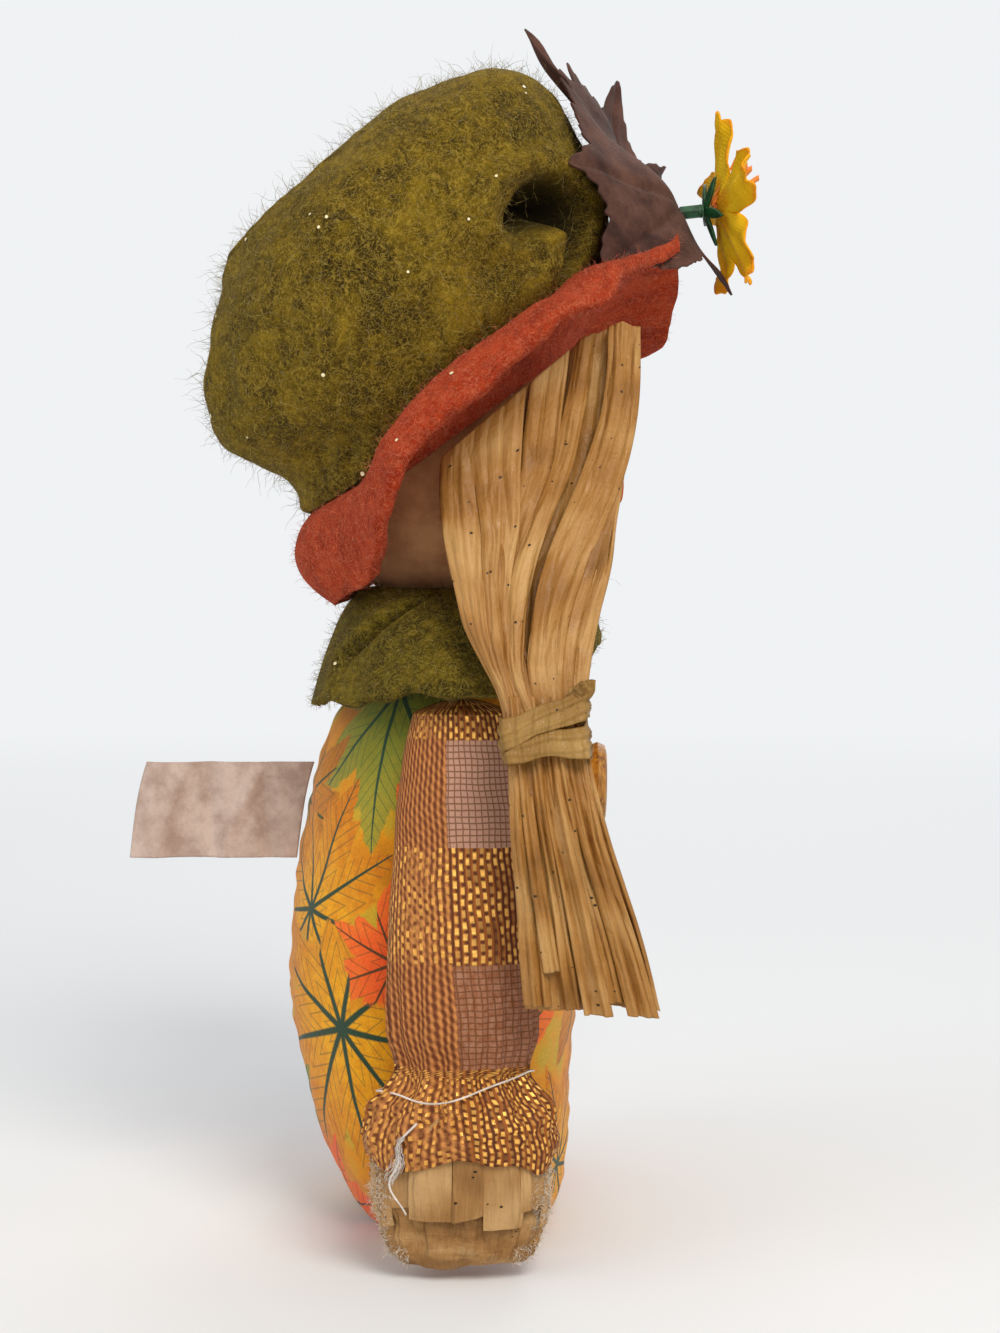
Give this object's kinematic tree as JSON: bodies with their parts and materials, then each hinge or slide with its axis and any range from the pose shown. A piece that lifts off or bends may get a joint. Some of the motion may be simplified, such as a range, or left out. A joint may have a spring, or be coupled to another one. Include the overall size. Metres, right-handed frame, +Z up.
{
  "type": "harvest doll",
  "caption": "Stuffed cloth harvest doll with folded raffia bunches, ribbon sleeves, raffia hands, felt hat and collar, cloth leaf and flower; it stands on a flat base.",
  "frame": {"origin": "centre of the flat base, on the surface the doll stands on", "axes": "+Z up; the doll faces -Y; its right hand is at -X"},
  "size_m": [0.1134, 0.1079, 0.2033],
  "materials": {
    "printed_cotton": "printed plain-weave cotton, matte",
    "base_felt": "dark red felt",
    "pellets": "calico bag of plastic pellets",
    "wadding": "white polyester filling",
    "tan_muslin": "plain muslin",
    "bead": "glossy black bead",
    "nose_felt": "orange felt",
    "mouth_cotton": "stranded cotton",
    "olive_felt": "mottled olive and gold wool felt, fuzzy",
    "orange_felt": "orange-red wool felt, fuzzy",
    "leaf_cloth": "fine stiffened plum-brown cloth",
    "petal_cloth": "fine stiffened yellow cloth",
    "calyx": "moulded green plastic",
    "stamen": "moulded orange plastic",
    "raffia": "folded paper raffia, slight gloss",
    "copper_ribbon": "woven copper ribbon with metallic threads",
    "white_thread": "white cotton thread",
    "turned_wood": "turned wood, waxed",
    "ribbon_tag": "creased satin ribbon, bare"
  },
  "bodies": {
    "torso": {"body_panel_right": "printed_cotton", "body_panel_left": "printed_cotton", "base_panel": "base_felt", "pellet_bag": "pellets", "body_stuffing": "wadding", "head_cover": "tan_muslin", "head_core": "wadding", "right_eye": "bead", "left_eye": "bead", "nose": "nose_felt", "mouth_stitch": "mouth_cotton", "collar": "olive_felt", "hat_brim": "orange_felt", "hat_crown": "olive_felt", "hat_stuffing": "wadding", "hat_leaf": "leaf_cloth", "flower_calyx": "calyx", "flower_stalk": "calyx", "flower_petals": "petal_cloth", "flower_stamens": "stamen", "right_shoulder_stitch": "white_thread", "left_shoulder_stitch": "white_thread", "chest_button": "turned_wood", "button_thread": "white_thread"},
    "right_arm": {"right_sleeve": "copper_ribbon", "right_arm_raffia": "raffia", "right_wrist_thread": "white_thread"},
    "right_hair": {"right_hair_strip_1": "raffia", "right_hair_strip_2": "raffia", "right_hair_strip_3": "raffia", "right_hair_strip_4": "raffia", "right_hair_strip_5": "raffia", "right_hair_strip_6": "raffia", "right_hair_tie": "raffia"},
    "left_arm": {"left_sleeve": "copper_ribbon", "left_arm_raffia": "raffia", "left_wrist_thread": "white_thread"},
    "left_hair": {"left_hair_strip_1": "raffia", "left_hair_strip_2": "raffia", "left_hair_strip_3": "raffia", "left_hair_strip_4": "raffia", "left_hair_strip_5": "raffia", "left_hair_strip_6": "raffia", "left_hair_tie": "raffia"},
    "tag": {"back_tag": "ribbon_tag"}
  },
  "joints": [
    {"name": "right_shoulder", "type": "hinge", "parent": "torso", "child": "right_arm", "pos_m": [-0.035, -0.0014, 0.0832], "axis": [1, 0, 0], "range_deg": [-70, 60]},
    {"name": "left_shoulder", "type": "hinge", "parent": "torso", "child": "left_arm", "pos_m": [0.035, -0.0014, 0.0832], "axis": [1, 0, 0], "range_deg": [-70, 60]},
    {"name": "right_hair_swing", "type": "hinge", "parent": "torso", "child": "right_hair", "pos_m": [-0.032, -0.017, 0.14], "axis": [0, 0.7659, -0.6429], "range_deg": [0, 35]},
    {"name": "left_hair_swing", "type": "hinge", "parent": "torso", "child": "left_hair", "pos_m": [0.032, -0.017, 0.14], "axis": [0, -0.7659, 0.6429], "range_deg": [0, 35]},
    {"name": "tag_flap", "type": "hinge", "parent": "torso", "child": "tag", "pos_m": [0, 0.0268, 0.0697], "axis": [0, -0.243, 0.97], "range_deg": [-60, 60], "stiffness_Nm_per_rad": 0.00002}
  ]
}
